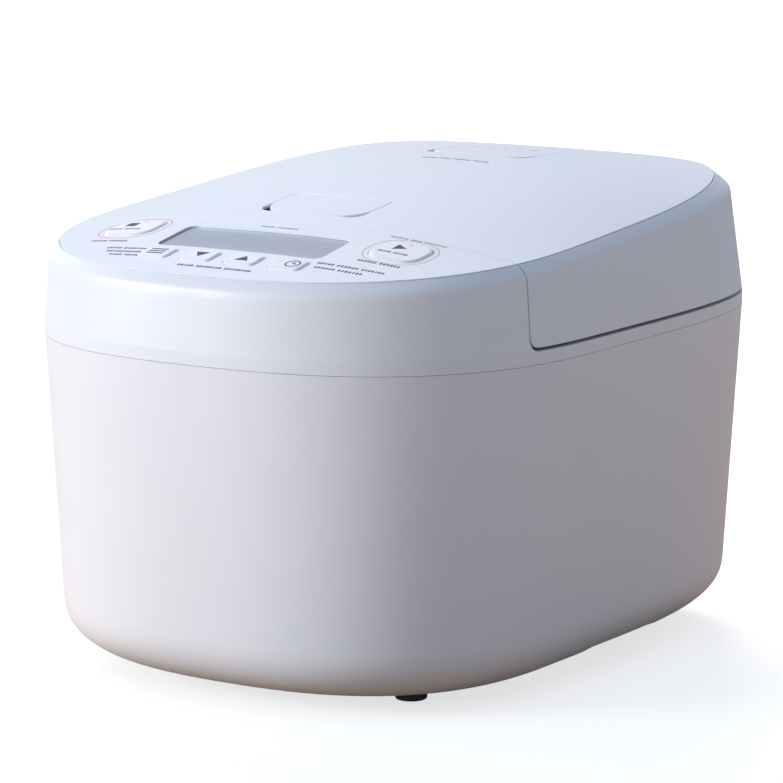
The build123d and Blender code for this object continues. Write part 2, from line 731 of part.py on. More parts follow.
def reel_axle():
    """The fixed axle of the reel, riveted to its case."""
    return rod(3.5, 9.7, 22.4, 0, REEL_Y) + rod(6.5, 20.7, 22.4, 0, REEL_Y)


# ================================================================ lid
def lid_shell():
    """The lid's rim and side walls, with a ledge round the top for its plate."""
    shell = ENVELOPE & lid_region()
    behind_wall = block(-150, 150, SEAM_Y + SEAM_GAP / 2 + WALL, 200, 150, 260)
    shell -= INNER_COLUMN & dome_slab(PLATE + 2.4, 90) & behind_wall
    shell -= dome_slab(-3, PLATE) & plate_prism(PLATE_GAP)
    window = Solid.extrude(Face(flat_outline(20.0, 190.0)), Vector(0, 0, 60))
    shell -= window & block(-150, 150, SEAM_Y + 12, 200, 180, 260)
    shell -= block(-9, 9, SEAM_Y - 1, SEAM_Y + 5, 184.0, 197.0)
    shell -= lid_rear_cut()
    return shell


def lid_rear_cut():
    """Room inside the rear wall for the hinge ears."""
    half = EAR_WIDTH / 2 + 1.0
    left, right = (rod_x(KNUCKLE_RADIUS + 0.6, x - half, x + half, HINGE_Y, HINGE_Z) for x in EAR_XS)
    return left + right


def lid_top_plate():
    """The lid's domed top plate, with openings for the release button and the steam vent."""
    behind = block(-150, 150, SEAM_Y + SEAM_GAP / 2, 200, 150, 260)
    plate = dome_slab(0, PLATE) & plate_prism() & behind
    return plate - button_prism(BUTTON_GAP) - vent_prism(VENT_GAP)


def button_prism(gap=0.0):
    """The release button's plan, or its opening, whose front corners are squarer."""
    corners = BUTTON_OPENING_CORNERS if gap else BUTTON_CORNERS
    return tablet(BUTTON_WIDTH, BUTTON_FRONT_Y, BUTTON_REAR_Y, corners, gap)


def vent_prism(gap=0.0):
    """The steam vent cover's plan, or its opening, whose front corners are squarer."""
    width, depth = VENT_SIZE
    corners = VENT_OPENING_CORNERS if gap else VENT_CORNERS
    return tablet(width, VENT_Y - depth / 2, VENT_Y + depth / 2, corners, gap)


def release_button():
    """The press plate of the latch, on a lever pivoted at its rear edge."""
    cap = dome_slab(0.0, BUTTON_THICKNESS) & button_prism()
    top = cap.faces().sort_by(Axis.Z)[-1]
    cap = fillet(top.edges().sort_by(Axis.Y)[:3], 0.6)
    low, high = LATCH_Z - 3, LATCH_Z + 5
    arm = [(LATCH_Y - 4, low), (LATCH_Y + 3, low), (LATCH_Y + 3, high), (LATCH_Y - 14, high)]
    for x in LATCH_ARM_XS:
        cap += side_prism(arm, x - 2, x + 2) & dome_slab(1.0, 40)
    cap += rod_x(4.0, LATCH_ARM_XS[0] - 2, LATCH_ARM_XS[1] + 2, LATCH_Y, LATCH_Z)
    return cap - rod_x(LATCH_PIN_RADIUS + 0.1, -30, 30, LATCH_Y, LATCH_Z)


def latch_hook():
    """The hook that hangs from the lever and reaches into the console's rear wall."""
    front = SEAM_Y + SEAM_GAP / 2 + WALL + 1.0
    top = dome_height(0, front + 20) - BUTTON_THICKNESS - 0.1
    stem = [(front + 1, 186.5), (front + 5, 186.5), (front + 22, top), (front + 14, top)]
    tip = SEAM_Y - SEAM_GAP / 2 + 0.3
    nose = [(tip, 190.5), (tip, 189.0), (front + 2, 186.5), (front + 2, 190.5)]
    hook = side_prism(stem, -7, 7) + side_prism(nose, -7, 7)
    return hook & dome_slab(BUTTON_THICKNESS + 0.05, 60)


def latch_pin():
    return rod_x(LATCH_PIN_RADIUS, -27, 27, LATCH_Y, LATCH_Z)


def latch_spring():
    """The coil that lifts the front of the release button."""
    y = BUTTON_FRONT_Y + 22
    return coil(4.0, 0.5, LATCH_FLOOR + 0.7, dome_height(0, y) - 3.4, 5, 0, y)


def lid_lower_cover():
    """The lid's underside, with the latch's carrier, the hinge bay and its knuckles."""
    low = LID_Z + 0.8
    plan = Solid.extrude(Face(flat_outline(WALL + 0.8, low)), Vector(0, 0, 2.2))
    cover = plan & block(-150, 150, SEAM_Y + SEAM_GAP / 2 + WALL + 0.3, 200, 150, 260)
    bay_front = 155.0
    cover -= block(-HINGE_BAY_HALF, HINGE_BAY_HALF, bay_front, 200, 150, 260)
    bay = block(-HINGE_BAY_HALF, HINGE_BAY_HALF, bay_front - 2, 174.0, low, 190.0)
    bay -= block(-HINGE_BAY_HALF + 2, HINGE_BAY_HALF - 2, bay_front, 200, 150, 188.0)
    cover += bay & INNER_COLUMN
    for x in LID_KNUCKLE_XS:
        left, right = x - LID_KNUCKLE_WIDTH / 2, x + LID_KNUCKLE_WIDTH / 2
        knuckle = rod_x(KNUCKLE_RADIUS, left, right, HINGE_Y, HINGE_Z)
        knuckle += block(left, right, HINGE_Y - 3, HINGE_Y + 3, HINGE_Z, 188.5)
        cover += knuckle - rod_x(HINGE_PIN_RADIUS + 0.06, left - 1, right + 1, HINGE_Y, HINGE_Z)
    cover -= rod(VENT_TUBE + 0.4, 150, 260, 0, VENT_Y)
    cover -= rod(KNOB_RADIUS + 0.3, 150, 260, 0, PAN_Y)
    for x in (-27.0, 24.0):
        wall = block(x, x + 3, LATCH_Y - 6, LATCH_Y + 5, low + 1, LATCH_Z + 3)
        cover += wall - rod_x(LATCH_PIN_RADIUS + 0.05, x - 1, x + 4, LATCH_Y, LATCH_Z)
    shelf = block(-27, 27, BUTTON_FRONT_Y + 17, LATCH_Y + 5, LATCH_FLOOR - 2, LATCH_FLOOR)
    shelf += block(-27, -24, BUTTON_FRONT_Y + 17, LATCH_Y + 5, low + 1, LATCH_FLOOR)
    shelf += block(24, 27, BUTTON_FRONT_Y + 17, LATCH_Y + 5, low + 1, LATCH_FLOOR)
    return cover + shelf - lid_rear_cut()


def steam_vent_case():
    """The duct that leads steam from the inner lid up to a tray under the vent."""
    width, depth = VENT_SIZE
    floor = dome_height(0, VENT_Y) - 9.0
    duct = ring(VENT_TUBE, VENT_TUBE - 1.6, 173.0, floor, 0, VENT_Y)
    tray = pad(width + 4, depth + 4, 8.0, floor - 1.6, 250, 0, VENT_Y)
    tray -= pad(width + 1, depth + 1, 6.5, floor, 251, 0, VENT_Y)
    tray &= dome_slab(PLATE + 0.5, 40)
    return duct + (tray - rod(VENT_TUBE - 1.6, 150, 260, 0, VENT_Y))


def steam_vent_cap():
    """The lift-off vent cover, flush with the lid, with steam slots along its rear."""
    width, depth = VENT_SIZE
    cap = dome_slab(0.0, 2.4) & vent_prism()
    top = cap.faces().sort_by(Axis.Z)[-1]
    cap = fillet(top.edges(), 0.8)
    floor = dome_height(0, VENT_Y) - 8.6
    skirt = pad(width - 6, depth - 6, 11.0, floor, 244, 0, VENT_Y)
    skirt -= pad(width - 10, depth - 10, 9.0, floor - 1, 250, 0, VENT_Y)
    cap += skirt & dome_slab(2.0, 30)
    for index in range(VENT_SLOTS):
        x = (index - (VENT_SLOTS - 1) / 2) * VENT_SLOT_PITCH
        cap -= pad(VENT_SLOT_PITCH - 1.3, 3.0, 1.2, 225, 260, x, VENT_Y + depth / 2 - 7.5)
    return cap


def vent_gasket():
    return ring(VENT_TUBE + 3.0, VENT_TUBE + 0.2, 173.2, 176.0, 0, VENT_Y)


def lid_heater():
    """The lid's heating foil on its aluminium backing, above the inner lid."""
    disc = ring(98, KNOB_RADIUS + 3, 173.6, 174.8, 0, PAN_Y)
    return disc - rod(VENT_TUBE + 4.5, 150, 260, 0, VENT_Y)


def inner_lid():
    """The removable aluminium inner lid, with its steam hole and rolled edge."""
    disc = rod(103.0, 170.6, 171.8, 0, PAN_Y) - rod(3.6, 160, 180, 0, PAN_Y)
    disc -= rod(6.0, 160, 180, 0, VENT_Y)
    disc += ring(103.0, 101.6, 169.4, 171.8, 0, PAN_Y)
    for index in range(4):
        groove = 24 + 18 * index
        disc += ring(groove + 1.5, groove, 171.8, 172.4, 0, PAN_Y) - rod(14, 160, 180, 0, VENT_Y)
    return disc


def inner_lid_gasket():
    """The silicone seal round the inner lid, just clear of the pan's rim."""
    seal = ring(111.5, 103.1, 169.2, 171.4, 0, PAN_Y) + ring(111.5, 109.5, 168.35, 169.4, 0, PAN_Y)
    return seal + ring(106.5, 105.0, 168.35, 169.4, 0, PAN_Y)


def inner_lid_catch():
    """The rubber catch that holds the inner lid by its middle."""
    return rod(3.5, 169.0, 173.0, 0, PAN_Y) + rod(5.5, 168.0, 170.4, 0, PAN_Y) + rod(6.6, 172.6, 181, 0, PAN_Y)


def hinge_pin():
    return rod_x(HINGE_PIN_RADIUS - 0.01, -HINGE_PIN_HALF, HINGE_PIN_HALF, HINGE_Y, HINGE_Z)


def hinge_spring():
    """The lid's opening spring, wound round the middle of the hinge pin."""
    path = Pos(-30, HINGE_Y, HINGE_Z) * Rot(0, 90, 0) * Helix(2.4, 60, 3.2)
    start = Plane(path @ 0, z_dir=path % 0)
    return sweep(start * Circle(0.6), path)


# ================================================================ every piece, under its name
PIECES = {
    "outer_shell": outer_shell(),
    "base_cover": base_cover(),
    "base_screws": base_screws(),
    "front_feet": feet(FEET_YS[0]),
    "rear_feet": feet(FEET_YS[1]),
    "cord_outlet": outlet_bezel(),
    "upper_frame": upper_frame(),
    "control_panel": control_panel(),
    "lcd_window": lcd_window(),
    "lcd_module": lcd_module(),
    "control_board": control_board(),
    "tact_switches": tact_switches(),
    "board_screws": board_screws(),
    "buzzer": buzzer(),
    "power_board": power_board(),
    "power_transformer": power_parts("transformer"),
    "power_relay": power_parts("relay"),
    "power_capacitors": power_parts("capacitors"),
    "inner_pan": inner_pan(),
    "inner_case": inner_case(),
    "side_heater": side_heater(),
    "heating_plate": heating_plate(),
    "heating_element": heating_element(),
    "plate_posts": plate_posts(),
    "sensor_holder": sensor_holder(),
    "pan_sensor": pan_sensor(),
    "sensor_spring": sensor_spring(),
    "thermal_fuse": thermal_fuse(),
    "reel_case": reel_case(),
    "reel_drum": reel_drum(),
    "reel_axle": reel_axle(),
    "lid_shell": lid_shell(),
    "lid_top_plate": lid_top_plate(),
    "lid_lower_cover": lid_lower_cover(),
    "release_button": release_button(),
    "latch_hook": latch_hook(),
    "latch_pin": latch_pin(),
    "latch_spring": latch_spring(),
    "steam_vent_case": steam_vent_case(),
    "steam_vent_cap": steam_vent_cap(),
    "vent_gasket": vent_gasket(),
    "lid_heater": lid_heater(),
    "inner_lid": inner_lid(),
    "inner_lid_gasket": inner_lid_gasket(),
    "inner_lid_catch": inner_lid_catch(),
    "hinge_pin": hinge_pin(),
    "hinge_spring": hinge_spring(),
    "start_lamp": lamp_lens(BIG_KEY_X, BIG_KEY_Y + 9.0, 1.2),
    "cancel_lamp": lamp_lens(-BIG_KEY_X, BIG_KEY_Y + 9.0, 1.2),
    "timer_lamp": lamp_lens(SMALL_KEY_PITCH * 1.5 - 6.0, SMALL_KEY_Y + 1.5, 0.9),
}
LAMPED_KEYS = {"start_button": "start_lamp", "cancel_button": "cancel_lamp", "timer_button": "timer_lamp"}
for key_name, key_size, key_x, key_y in key_spots():
    PIECES[key_name] = key(key_size, key_x, key_y)
    if key_name in LAMPED_KEYS:
        PIECES[key_name] -= PIECES[LAMPED_KEYS[key_name]]

os.makedirs("parts", exist_ok=True)
for name, piece in PIECES.items():
    piece.label = name
    export_step(piece, f"parts/{name}.step")
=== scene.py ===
import json
import math

import bmesh
import bpy
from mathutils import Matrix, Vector
from mathutils.bvhtree import BVHTree


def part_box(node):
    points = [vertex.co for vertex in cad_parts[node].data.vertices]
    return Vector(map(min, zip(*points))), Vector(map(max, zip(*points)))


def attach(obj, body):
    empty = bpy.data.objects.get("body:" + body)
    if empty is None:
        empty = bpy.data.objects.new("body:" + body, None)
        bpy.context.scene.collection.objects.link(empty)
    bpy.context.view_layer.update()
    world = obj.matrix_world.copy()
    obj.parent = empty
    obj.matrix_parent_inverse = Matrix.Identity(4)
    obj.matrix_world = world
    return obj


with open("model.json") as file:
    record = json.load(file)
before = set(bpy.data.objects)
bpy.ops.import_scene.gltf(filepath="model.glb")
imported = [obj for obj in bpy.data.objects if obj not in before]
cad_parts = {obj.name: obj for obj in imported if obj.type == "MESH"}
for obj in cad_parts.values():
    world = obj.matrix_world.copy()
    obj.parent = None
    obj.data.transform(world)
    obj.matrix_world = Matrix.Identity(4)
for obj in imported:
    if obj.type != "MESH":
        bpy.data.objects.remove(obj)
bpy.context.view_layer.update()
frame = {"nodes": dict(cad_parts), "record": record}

MM = 0.001
NODES = frame["nodes"]

# ---------------------------------------------------------------- camera
VIEW_AZIMUTH = math.radians(33.16)
VIEW_ELEVATION = math.radians(10.02)
VIEW_DISTANCE = 2.027
VIEW_ACROSS = 0.02176  # where the view's axis passes, along its own right and up
VIEW_UP = 0.13303
VIEW_FORWARD = -0.040
LENS = 184.0
SENSOR = 36.0


def make_camera():
    """The camera at the product shot's angle."""
    right = Vector((math.cos(VIEW_AZIMUTH), math.sin(VIEW_AZIMUTH), 0.0))
    back = Vector(
        (
            math.sin(VIEW_AZIMUTH) * math.cos(VIEW_ELEVATION),
            -math.cos(VIEW_AZIMUTH) * math.cos(VIEW_ELEVATION),
            math.sin(VIEW_ELEVATION),
        )
    )
    up = back.cross(right)
    place = right * VIEW_ACROSS + up * VIEW_UP + back * VIEW_DISTANCE
    place += Vector((0, VIEW_FORWARD, 0))
    data = bpy.data.cameras.new("product_camera")
    data.lens = LENS
    data.sensor_width = SENSOR
    data.clip_end = 50.0
    camera = bpy.data.objects.new("product_camera", data)
    camera.location = place
    camera.rotation_euler = back.to_track_quat("Z", "Y").to_euler()
    bpy.context.scene.collection.objects.link(camera)
    bpy.context.scene.camera = camera


# ---------------------------------------------------------------- materials
GRAIN_DEPTH = 0.00003  # how deep the plastics' grain is, in metres
WHITE = (0.80, 0.82, 0.85)
PLATE_WHITE = (0.79, 0.82, 0.87)
BOARD_GREEN = (0.03, 0.16, 0.07)
COATING_BLACK = (0.05, 0.05, 0.055)
DISPLAY_CENTER = (0.0, -0.1211)
DISPLAY_HALF = (0.048, 0.0153)
DISPLAY_SPAN = (-0.1364, -0.1058)  # the display's near and far edge along Y
DISPLAY_STOPS = (
    (0.0, (0.50, 0.48, 0.54)),
    (0.34, (0.44, 0.42, 0.49)),
    (0.46, (0.41, 0.43, 0.50)),
    (0.80, (0.42, 0.45, 0.54)),
    (1.0, (0.42, 0.46, 0.57)),
)


def base_material(name, color, roughness, metallic=0.0, **sockets):
    """A Principled material with plain values on its sockets."""
    material = bpy.data.materials.new(name)
    material.use_nodes = True
    shader = material.node_tree.nodes["Principled BSDF"]
    shader.inputs["Base Color"].default_value = (*color, 1.0)
    shader.inputs["Roughness"].default_value = roughness
    shader.inputs["Metallic"].default_value = metallic
    for socket, value in sockets.items():
        shader.inputs[socket.replace("_", " ")].default_value = value
    return material, material.node_tree, shader


def position(tree, scale=(1.0, 1.0, 1.0)):
    """Object coordinates, scaled."""
    coordinates = tree.nodes.new("ShaderNodeTexCoord")
    mapping = tree.nodes.new("ShaderNodeMapping")
    mapping.inputs["Scale"].default_value = scale
    tree.links.new(coordinates.outputs["Object"], mapping.inputs["Vector"])
    return mapping.outputs["Vector"]


def noise(tree, vector, scale, detail=3.0, roughness=0.55):
    texture = tree.nodes.new("ShaderNodeTexNoise")
    texture.inputs["Scale"].default_value = scale
    texture.inputs["Detail"].default_value = detail
    texture.inputs["Roughness"].default_value = roughness
    tree.links.new(vector, texture.inputs["Vector"])
    return texture.outputs["Fac"]


def ramp(tree, factor, stops):
    """A colour ramp from (place, colour) stops."""
    node = tree.nodes.new("ShaderNodeValToRGB")
    elements = node.color_ramp.elements
    while len(elements) < len(stops):
        elements.new(0.5)
    for element, (place, color) in zip(elements, stops):
        element.position = place
        element.color = (*color, 1.0)
    tree.links.new(factor, node.inputs["Fac"])
    return node.outputs["Color"]


def vary_color(tree, shader, factor, color, amount):
    """Base colour that drifts a little either side of its mean."""
    low = tuple(c * (1 - amount) for c in color)
    high = tuple(min(1.0, c * (1 + amount)) for c in color)
    tree.links.new(ramp(tree, factor, [(0.3, low), (0.7, high)]), shader.inputs["Base Color"])


def vary_roughness(tree, shader, factor, low, high):
    node = tree.nodes.new("ShaderNodeMapRange")
    node.inputs["From Min"].default_value = 0.3
    node.inputs["From Max"].default_value = 0.7
    node.inputs["To Min"].default_value = low
    node.inputs["To Max"].default_value = high
    tree.links.new(factor, node.inputs["Value"])
    tree.links.new(node.outputs["Result"], shader.inputs["Roughness"])


def bump(tree, shader, factor, strength, distance):
    node = tree.nodes.new("ShaderNodeBump")
    node.inputs["Strength"].default_value = strength
    node.inputs["Distance"].default_value = distance
    tree.links.new(factor, node.inputs["Height"])
    tree.links.new(node.outputs["Normal"], shader.inputs["Normal"])


def moulded_plastic(name, color, low, high, grain=900.0, relief=0.25, coat=0.0, drift=0.012):
    """Injection-moulded plastic: faint clouding, uneven gloss and a fine spark-eroded grain."""
    material, tree, shader = base_material(name, color, (low + high) / 2)
    shader.inputs["Coat Weight"].default_value = coat
    shader.inputs["Coat Roughness"].default_value = 0.12
    vector = position(tree)
    vary_color(tree, shader, noise(tree, vector, 9.0, 4.0), color, drift)
    vary_roughness(tree, shader, noise(tree, vector, 38.0, 5.0), low, high)
    bump(tree, shader, noise(tree, vector, grain, 2.0), relief, GRAIN_DEPTH)
    return material


def metal(name, color, low, high, stretch=(1.0, 1.0, 1.0)):
    """Metal with fine drawn or cast texture."""
    material, tree, shader = base_material(name, color, (low + high) / 2, metallic=1.0)
    vector = position(tree, stretch)
    streaks = noise(tree, vector, 300.0, 3.0)
    vary_color(tree, shader, noise(tree, position(tree), 14.0), color, 0.05)
    vary_roughness(tree, shader, streaks, low, high)
    bump(tree, shader, streaks, 0.3, 0.00004)
    return material


def rubber(name, color, low, high):
    """Dull rubber with a speckled surface."""
    material, tree, shader = base_material(name, color, (low + high) / 2)
    vector = position(tree)
    vary_color(tree, shader, noise(tree, vector, 120.0, 4.0), color, 0.15)
    vary_roughness(tree, shader, noise(tree, vector, 60.0), low, high)
    bump(tree, shader, noise(tree, vector, 600.0, 3.0), 0.4, 0.00006)
    return material


def edge_distance(tree, center, half):
    """How far a point lies inside a rectangle seen from above, in metres."""
    coordinates = tree.nodes.new("ShaderNodeTexCoord")
    split = tree.nodes.new("ShaderNodeSeparateXYZ")
    tree.links.new(coordinates.outputs["Object"], split.inputs["Vector"])
    margins = []
    for axis, middle, reach in zip("XY", center, half):
        offset = math_node(tree, "SUBTRACT", split.outputs[axis], middle)
        margins.append(math_node(tree, "SUBTRACT", reach, math_node(tree, "ABSOLUTE", offset)))
    return math_node(tree, "MINIMUM", *margins), split.outputs["Y"]


def math_node(tree, operation, *values):
    node = tree.nodes.new("ShaderNodeMath")
    node.operation = operation
    for socket, value in zip(node.inputs, values):
        if isinstance(value, (int, float)):
            socket.default_value = value
        else:
            tree.links.new(value, socket)
    return node.outputs["Value"]


def map_range(tree, value, low, high):
    """A value mapped from its range to 0..1."""
    node = tree.nodes.new("ShaderNodeMapRange")
    node.inputs["From Min"].default_value = low
    node.inputs["From Max"].default_value = high
    tree.links.new(value, node.inputs["Value"])
    return node.outputs["Result"]


def display_pane():
    """Clear acrylic with the unlit display right behind it, darkened near its edges by painted shade
    that stands for the recess wall's shadow.
    """
    material, tree, shader = base_material("display_pane", (0.5, 0.5, 0.56), 0.3)
    shader.inputs["Coat Weight"].default_value = 1.0
    shader.inputs["Coat Roughness"].default_value = 0.06
    inside, along = edge_distance(tree, DISPLAY_CENTER, DISPLAY_HALF)
    display = ramp(tree, map_range(tree, along, *DISPLAY_SPAN), DISPLAY_STOPS)
    # Painted shade: a dark rim just inside the window's edge, multiplied into the display colour,
    # standing in for the recess wall's shadow.
    recess_shade_stops = [(0.0, (0.10, 0.11, 0.20)), (1.0, (1.0, 1.0, 1.0))]
    recess_shade = ramp(tree, map_range(tree, inside, 0.0006, 0.0012), recess_shade_stops)
    mixed = tree.nodes.new("ShaderNodeMix")
    mixed.data_type = "RGBA"
    mixed.blend_type = "MULTIPLY"
    mixed.inputs["Factor"].default_value = 1.0
    tree.links.new(display, mixed.inputs["A"])
    tree.links.new(recess_shade, mixed.inputs["B"])
    tree.links.new(mixed.outputs["Result"], shader.inputs["Base Color"])
    vary_roughness(tree, shader, noise(tree, position(tree), 60.0), 0.30, 0.32)
    return material


def pan_coating():
    """Dark non-stick coating with a fine sparkle."""
    material, tree, shader = base_material("pan_coating", COATING_BLACK, 0.35)
    flecks = tree.nodes.new("ShaderNodeTexVoronoi")
    flecks.inputs["Scale"].default_value = 900.0
    tree.links.new(position(tree), flecks.inputs["Vector"])
    stops = [(0.0, (0.16, 0.16, 0.165)), (0.18, COATING_BLACK)]
    tree.links.new(ramp(tree, flecks.outputs["Distance"], stops), shader.inputs["Base Color"])
    vary_roughness(tree, shader, noise(tree, position(tree), 25.0), 0.28, 0.42)
    bump(tree, shader, flecks.outputs["Distance"], 0.2, 0.00004)
    return material


def circuit_board():
    """Green solder mask with paler tracks."""
    material, tree, shader = base_material("circuit_board", BOARD_GREEN, 0.4)
    bricks = tree.nodes.new("ShaderNodeTexBrick")
    bricks.inputs["Scale"].default_value = 160.0
    bricks.inputs["Mortar Size"].default_value = 0.03
    bricks.inputs["Color1"].default_value = (*BOARD_GREEN, 1.0)
    bricks.inputs["Color2"].default_value = (0.04, 0.19, 0.08, 1.0)
    bricks.inputs["Mortar"].default_value = (0.10, 0.32, 0.14, 1.0)
    tree.links.new(position(tree), bricks.inputs["Vector"])
    tree.links.new(bricks.outputs["Color"], shader.inputs["Base Color"])
    bump(tree, shader, bricks.outputs["Fac"], 0.3, 0.00005)
    return material


def make_materials():
    """One material for each of the record's slots, and the printing inks."""
    plastic = moulded_plastic
    return {
        "casing_white": plastic("casing_plastic", WHITE, 0.36, 0.44),
        "frame_white": plastic("frame_plastic", WHITE, 0.36, 0.44),
        "plate_white": plastic(
            "plate_film", PLATE_WHITE, 0.30, 0.32, grain=1400.0, relief=0.06, coat=0.12
        ),
        "key_white": plastic("key_plastic", (0.82, 0.83, 0.86), 0.38, 0.46, grain=1200.0),
        "display_window": display_pane(),
        "display_grey": plastic(
            "display_cell", (0.50, 0.51, 0.55), 0.30, 0.36, grain=2000.0, relief=0.05
        ),
        "lamp_amber": plastic("lamp_plastic", (0.86, 0.78, 0.70), 0.18, 0.26),
        "foot_rubber": rubber("foot_rubber", (0.045, 0.04, 0.038), 0.6, 0.8),
        "base_grey": plastic(
            "base_plastic", (0.42, 0.43, 0.45), 0.45, 0.6, grain=500.0, relief=0.5
        ),
        "inner_grey": plastic(
            "inner_plastic", (0.50, 0.51, 0.53), 0.38, 0.5, grain=600.0, relief=0.4
        ),
        "board_green": circuit_board(),
        "black_part": plastic("component_plastic", (0.03, 0.03, 0.035), 0.4, 0.55, grain=400.0),
        "bright_steel": metal("bright_steel", (0.58, 0.58, 0.60), 0.18, 0.3),
        "case_steel": metal("case_steel", (0.60, 0.61, 0.62), 0.3, 0.45, stretch=(1, 1, 12)),
        "bare_aluminium": metal("bare_aluminium", (0.74, 0.75, 0.77), 0.25, 0.4, stretch=(1, 1, 8)),
        "pan_coat": pan_coating(),
        "silicone_grey": rubber("silicone", (0.46, 0.47, 0.48), 0.4, 0.5),
        "ink_grey": plastic("ink_grey", (0.075, 0.085, 0.13), 0.4, 0.5, drift=0.05),
        "ink_orange": plastic("ink_orange", (0.80, 0.33, 0.13), 0.4, 0.5, drift=0.05),
        "ink_pink": plastic("ink_pink", (0.80, 0.20, 0.24), 0.4, 0.5, drift=0.05),
    }


def dress_nodes(materials):
    """Give every CAD node its slot's material."""
    for part in frame["record"]["subparts"]:
        node = NODES[part["node"]]
        node.data.materials.clear()
        node.data.materials.append(materials[part["material_slot"]])


# ---------------------------------------------------------------- printing
class Surface:
    """A node's upper surface, to lay printing on."""

    def __init__(self, node):
        mesh = NODES[node].data
        points = [v.co for v in mesh.vertices]
        self.tree = BVHTree.FromPolygons(points, [p.vertices for p in mesh.polygons])

    def point(self, x, y, rise):
        """The place above (x, y), both in mm, that stands that much proud of the surface."""
        hit = self.tree.ray_cast(Vector((x * MM, y * MM, 1.0)), Vector((0, 0, -1)))[0]
        if hit is None:
            hit = self.tree.find_nearest(Vector((x * MM, y * MM, 0.22)))[0]
        return Vector((x * MM, y * MM, hit.z + rise * MM))


INK_RISE = 0.06  # mm above and below the printed surface
INK_SINK = -0.05
CORNER_SIGNS = ((1, 1), (-1, 1), (-1, -1), (1, -1))


def ink_band(mesh, surface, outer, inner):
    """Thin raised ink between two closed loops of plan points."""
    rings = []
    for loop in (outer, inner):
        for rise in (INK_RISE, INK_SINK):
            rings.append([mesh.verts.new(surface.point(x, y, rise)) for x, y in loop])
    outer_up, outer_low, inner_up, inner_low = rings
    around = (outer_up, inner_up, inner_low, outer_low, outer_up)
    for one, other in zip(around, around[1:]):
        bridge(mesh, one, other)


def bridge(mesh, one, other):
    """Faces between two loops of the same length."""
    for i in range(len(one)):
        j = (i + 1) % len(one)
        mesh.faces.new((one[i], one[j], other[j], other[i]))


def ink_patch(mesh, surface, outline, rows=3):
    """Thin raised ink inside an outline, which shrinks in steps to its middle."""
    cx = sum(p[0] for p in outline) / len(outline)
    cy = sum(p[1] for p in outline) / len(outline)
    loops = []
    for row in range(rows):
        share = 1 - row / rows
        plan = [(cx + (x - cx) * share, cy + (y - cy) * share) for x, y in outline]
        loops.append([mesh.verts.new(surface.point(x, y, INK_RISE)) for x, y in plan])
    skirt = [mesh.verts.new(surface.point(x, y, INK_SINK)) for x, y in outline]
    for one, other in zip([skirt] + loops, loops):
        bridge(mesh, one, other)
    for loop, rise in ((loops[-1], INK_RISE), (skirt, INK_SINK)):
        middle = mesh.verts.new(surface.point(cx, cy, rise))
        for i in range(len(loop)):
            mesh.faces.new((loop[i], loop[(i + 1) % len(loop)], middle))


def rounded_rectangle(cx, cy, width, depth, radius, steps=8):
    """Plan points round a rounded rectangle."""
    points = []
    for corner, (sx, sy) in enumerate(CORNER_SIGNS):
        for step in range(steps + 1):
            angle = math.pi / 2 * (corner + step / steps)
            x = cx + sx * (width / 2 - radius) + radius * math.cos(angle)
            y = cy + sy * (depth / 2 - radius) + radius * math.sin(angle)
            points.append((x, y))
    return points


def polygon(cx, cy, points, sub=4):
    """Plan points along a polygon's sides, divided so that they follow the dome."""
    result = []
    for (ax, ay), (bx, by) in zip(points, points[1:] + points[:1]):
        for step in range(sub):
            t = step / sub
            result.append((cx + ax + (bx - ax) * t, cy + ay + (by - ay) * t))
    return result


def finish_piece(mesh, name, body, material):
    bmesh.ops.recalc_face_normals(mesh, faces=mesh.faces)
    data = bpy.data.meshes.new(name)
    mesh.to_mesh(data)
    mesh.free()
    data.materials.append(material)
    piece = bpy.data.objects.new(name, data)
    bpy.context.scene.collection.objects.link(piece)
    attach(piece, body)


RING = (36.0, 33.0, 14.5, 0.5)  # width, depth, corner radius and line, in mm
BIG_KEY_X = 78.0
BIG_KEY_Y = -111.5
WORD_GAP = 1.3
BLOCK_SHARES = (0.66, 0.52, 0.74)  # of the pitch that a block fills


def print_ring(name, x, y, material):
    """A thin printed frame round a large key."""
    width, depth, radius, line = RING
    mesh = bmesh.new()
    outer = rounded_rectangle(x, y, width, depth, radius, 14)
    inner = rounded_rectangle(x, y, width - 2 * line, depth - 2 * line, radius - line, 14)
    ink_band(mesh, Surface("control_panel"), outer, inner)
    finish_piece(mesh, name, "casing", material)


def bar(mesh, surface, x, y, width, height):
    """A short printed bar with rounded ends."""
    ink_patch(mesh, surface, rounded_rectangle(x, y, width, height, height * 0.45, 3))


def word(mesh, surface, left, y, width, height):
    """Small blocks in a row, as long as a printed word, with no letters in them."""
    count = max(2, round(width / (0.92 * height)))
    pitch = width / count
    for index in range(count):
        share = BLOCK_SHARES[index * count % len(BLOCK_SHARES)]
        x = left + (index + 0.5) * pitch
        ink_patch(mesh, surface, rounded_rectangle(x, y, share * pitch, height, 0.2 * pitch, 1), rows=1)


def caption(mesh, surface, x, y, widths, height):
    """A row of block words where a label would stand, centred on x."""
    left = x - (sum(widths) + WORD_GAP * (len(widths) - 1)) / 2
    for width in widths:
        word(mesh, surface, left, y, width, height)
        left += width + WORD_GAP


CAPTION = 2.1  # height of a printed row, in mm
FINE_CAPTION = 1.3
KEY_CAPTION = 1.8
ROWS = (  # left end, y and word lengths of each printed row, in mm
    (49.8, -140.0, (9.5, 12.5, 13.0)),
    (51.3, -145.4, (12.0, 14.0)),
    (-17.3, -159.8, (9.5, 15.0, 15.5)),
    (-71.6, -143.0, (9.0, 13.6)),
    (-68.4, -147.6, (20.6,)),
    (-63.8, -152.1, (8.0, 8.8)),
    (-89.2, -132.4, (9.5, 11.0)),
    (65.1, -129.4, (11.0, 11.8)),
)
FINE_ROWS = (
    (60.7, -93.6, (10.0, 6.5, 12.5)),
    (-9.6, -101.0, (8.0, 12.4)),
)
VENT_ROWS = ((-17.1, 55.0, (9.0, 7.0, 11.0, 9.6)),)


def print_rows(mesh, surface, rows, height):
    for left, y, widths in rows:
        total = sum(widths) + WORD_GAP * (len(widths) - 1)
        caption(mesh, surface, left + total / 2, y, widths, height)


